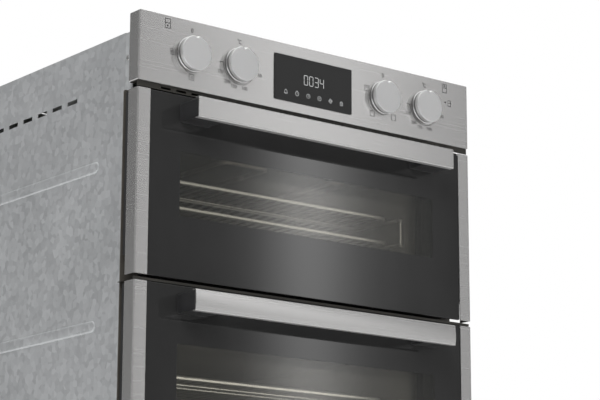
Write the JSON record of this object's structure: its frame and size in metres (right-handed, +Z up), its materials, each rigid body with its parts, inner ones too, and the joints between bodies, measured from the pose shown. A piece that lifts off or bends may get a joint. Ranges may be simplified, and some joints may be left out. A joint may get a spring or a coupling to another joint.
{
  "type": "wall oven",
  "caption": "Built-in wall oven: a small grill oven with drop-down door over a larger fan oven with its own door, under a steel control panel with knobs and display.",
  "frame": {"origin": "centre of the base, at the middle of the overall width and depth", "axes": "+Z up, front faces -Y, +X to the right for a person facing the oven"},
  "size_m": [0.594, 0.607, 0.888],
  "materials": {
    "brushed_steel": "brushed, grain left to right",
    "knob_steel": "satin turned metal",
    "zinc_sheet": "galvanised sheet, matt",
    "black_paint": "satin black",
    "black_glass": "polished, black print on the back",
    "clear_glass": "polished",
    "enamel": "glossy dark enamel with fine speckle",
    "chromed_wire": "bright plated wire",
    "heater": "oxidised metal tube",
    "mineral_wool": "fibrous blanket",
    "black_rubber": "matt silicone",
    "black_plastic": "fine texture",
    "pale_plastic": "moulded",
    "fan_metal": "plain sheet",
    "lamp_glass": "moulded"
  },
  "bodies": {
    "housing": {"base_panel": "zinc_sheet", "side_panel_left": "zinc_sheet", "side_panel_right": "zinc_sheet", "back_panel": "zinc_sheet", "top_cover": "zinc_sheet", "front_frame": "black_paint", "bottom_trim": "brushed_steel", "control_panel": "brushed_steel", "display_glass": "black_glass", "timer_module": "pale_plastic", "control_bracket": "zinc_sheet", "function_switches": "pale_plastic", "thermostats": "pale_plastic", "air_duct": "zinc_sheet", "blower_housing": "zinc_sheet", "top_cavity": "enamel", "main_cavity": "enamel", "top_insulation": "mineral_wool", "main_insulation": "mineral_wool", "top_side_racks": "chromed_wire", "main_side_racks": "chromed_wire", "grill_element": "heater", "base_element": "heater", "ring_element": "heater", "fan_cover": "enamel", "fan_motor": "fan_metal", "lamp_holders": "pale_plastic", "lamp_lenses": "lamp_glass", "top_door_seal": "black_rubber", "main_door_seal": "black_rubber", "hinge_brackets": "brushed_steel", "hinge_receivers": "zinc_sheet", "terminal_block": "black_plastic", "cable_gland": "black_plastic", "frame_screws": "brushed_steel", "gap_strips": "black_paint"},
    "top_door": {"top_door_glass": "black_glass", "top_door_trims": "brushed_steel", "top_door_frame": "black_paint", "top_inner_glass": "clear_glass", "top_handle_bar": "brushed_steel", "top_handle_posts": "black_plastic", "top_hinge_arms": "brushed_steel"},
    "main_door": {"main_door_glass": "black_glass", "main_door_trims": "brushed_steel", "main_door_frame": "black_paint", "main_inner_glass": "clear_glass", "main_handle_bar": "brushed_steel", "main_handle_posts": "black_plastic", "main_hinge_arms": "brushed_steel"},
    "knob_top_function": {"knob_top_function": "knob_steel"},
    "knob_top_temperature": {"knob_top_temperature": "knob_steel"},
    "knob_main_function": {"knob_main_function": "knob_steel"},
    "knob_main_temperature": {"knob_main_temperature": "knob_steel"},
    "convection_fan": {"convection_fan": "fan_metal"},
    "blower_wheel": {"blower_wheel": "fan_metal"},
    "top_upper_shelf": {"top_upper_shelf": "chromed_wire"},
    "top_lower_shelf": {"top_lower_shelf": "chromed_wire"},
    "main_shelf": {"main_shelf": "chromed_wire"},
    "grill_pan": {"grill_pan": "enamel"}
  },
  "joints": [
    {"name": "top_door_hinge", "type": "hinge", "parent": "housing", "child": "top_door", "pos_m": [0, -0.2455, 0.545], "axis": [1, 0, 0], "range_deg": [0, 90], "stiffness_Nm_per_rad": 2.2, "springref_deg": -14.32},
    {"name": "main_door_hinge", "type": "hinge", "parent": "housing", "child": "main_door", "pos_m": [0, -0.2455, 0.06], "axis": [1, 0, 0], "range_deg": [0, 90], "stiffness_Nm_per_rad": 5, "springref_deg": -14.32},
    {"name": "knob_top_function_turn", "type": "hinge", "parent": "housing", "child": "knob_top_function", "pos_m": [-0.2105, -0.2605, 0.8404], "axis": [0, 1, 0], "continuous": true},
    {"name": "knob_main_function_turn", "type": "hinge", "parent": "housing", "child": "knob_main_function", "pos_m": [0.13, -0.2605, 0.8404], "axis": [0, 1, 0], "continuous": true},
    {"name": "knob_top_temperature_turn", "type": "hinge", "parent": "housing", "child": "knob_top_temperature", "pos_m": [-0.13, -0.2605, 0.8404], "axis": [0, 1, 0], "range_deg": [0, 270]},
    {"name": "knob_main_temperature_turn", "type": "hinge", "parent": "housing", "child": "knob_main_temperature", "pos_m": [0.2105, -0.2605, 0.8404], "axis": [0, 1, 0], "range_deg": [0, 270]},
    {"name": "convection_fan_spin", "type": "hinge", "parent": "housing", "child": "convection_fan", "pos_m": [0, 0.1735, 0.296], "axis": [0, 1, 0], "continuous": true},
    {"name": "blower_wheel_spin", "type": "hinge", "parent": "housing", "child": "blower_wheel", "pos_m": [0, 0.1695, 0.827], "axis": [1, 0, 0], "continuous": true},
    {"name": "top_upper_shelf_slide", "type": "slide", "parent": "housing", "child": "top_upper_shelf", "axis": [0, -1, 0], "range_m": [0, 0.045]},
    {"name": "top_lower_shelf_slide", "type": "slide", "parent": "housing", "child": "top_lower_shelf", "axis": [0, -1, 0], "range_m": [0, 0.045]},
    {"name": "main_shelf_slide", "type": "slide", "parent": "housing", "child": "main_shelf", "axis": [0, -1, 0], "range_m": [0, 0.045]},
    {"name": "grill_pan_slide", "type": "slide", "parent": "housing", "child": "grill_pan", "axis": [0, -1, 0], "range_m": [0, 0.045]}
  ]
}
